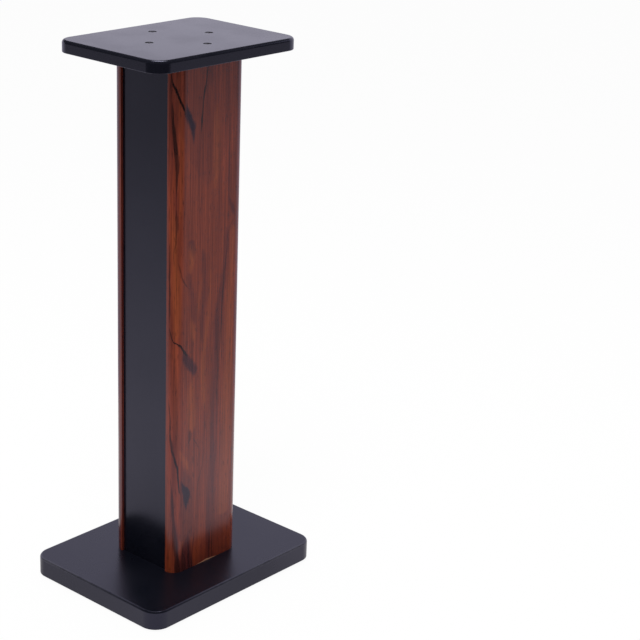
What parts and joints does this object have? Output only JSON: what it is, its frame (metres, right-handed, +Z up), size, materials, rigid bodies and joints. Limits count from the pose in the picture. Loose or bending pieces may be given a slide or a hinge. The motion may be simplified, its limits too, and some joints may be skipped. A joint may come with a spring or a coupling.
{
  "type": "speaker stand",
  "caption": "Floor stand for a bookshelf speaker: rounded top and base plates on a hollow box column with wood-grain sides and black front and rear panels.",
  "frame": {"origin": "centre of the footprint, on the floor under the rubber feet", "axes": "+Z up along the column, -Y towards the front (the black front panel), +X towards the right-hand wood-grain side as seen from the front"},
  "size_m": [0.229, 0.292, 0.703],
  "materials": {
    "black_laminate": "satin black laminate on MDF",
    "wood_grain_foil": "glossy reddish-brown rosewood-grain foil on MDF",
    "blackened_steel": "black finish on steel",
    "beech": "bare beech",
    "rubber": "matt black rubber"
  },
  "bodies": {
    "root": {"base_plate": "black_laminate", "top_plate": "black_laminate", "right_side_panel": "wood_grain_foil", "left_side_panel": "wood_grain_foil", "front_panel": "black_laminate", "rear_panel": "black_laminate", "front_left_dowel_1": "beech", "front_left_dowel_2": "beech", "front_left_dowel_3": "beech", "front_right_dowel_1": "beech", "front_right_dowel_2": "beech", "front_right_dowel_3": "beech", "rear_left_dowel_1": "beech", "rear_left_dowel_2": "beech", "rear_left_dowel_3": "beech", "rear_right_dowel_1": "beech", "rear_right_dowel_2": "beech", "rear_right_dowel_3": "beech", "top_screw_left": "blackened_steel", "top_screw_right": "blackened_steel", "top_screw_front": "blackened_steel", "top_screw_rear": "blackened_steel", "base_screw_left": "blackened_steel", "base_screw_right": "blackened_steel", "base_screw_front": "blackened_steel", "base_screw_rear": "blackened_steel", "front_left_foot": "rubber", "front_right_foot": "rubber", "rear_left_foot": "rubber", "rear_right_foot": "rubber"}
  },
  "joints": []
}
